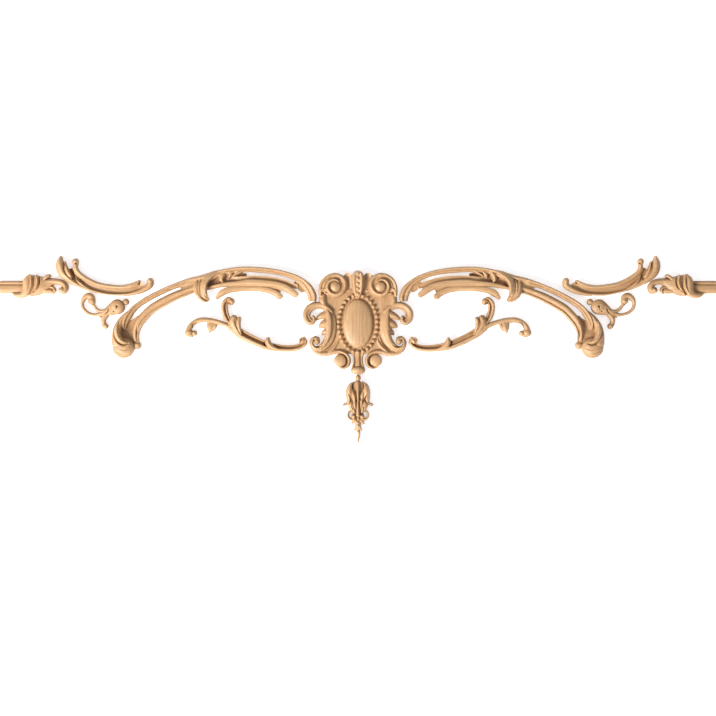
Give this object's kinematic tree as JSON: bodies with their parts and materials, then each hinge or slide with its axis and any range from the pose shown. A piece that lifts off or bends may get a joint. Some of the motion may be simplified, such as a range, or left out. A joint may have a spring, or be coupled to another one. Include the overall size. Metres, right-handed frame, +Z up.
{
  "type": "carved wooden applique",
  "caption": "Wide carved wooden wall applique: a beaded oval cartouche with a pendant husk between long reeded scroll arms, wavy vines, hollow leaves, small scrolls and moulded rod ends.",
  "frame": {"origin": "on the flat back plane that lies against the wall, at the centre of the cartouche's oval boss", "axes": "+X along the wall, to the right as seen from the front; +Z up; the carving faces -Y and the flat backs face +Y"},
  "size_m": [1.432, 0.0325, 0.375],
  "materials": {
    "cartouche_wood": "raw sanded hardwood, grain upright",
    "scroll_wood": "raw sanded hardwood, grain along the wall"
  },
  "bodies": {
    "root": {"cartouche": "cartouche_wood", "pendant": "cartouche_wood", "arm_left": "scroll_wood", "arm_right": "scroll_wood", "vine_left": "scroll_wood", "vine_right": "scroll_wood", "trough_left": "scroll_wood", "trough_right": "scroll_wood", "comma_left": "scroll_wood", "comma_right": "scroll_wood", "rod_end_left": "scroll_wood", "rod_end_right": "scroll_wood"}
  },
  "joints": []
}
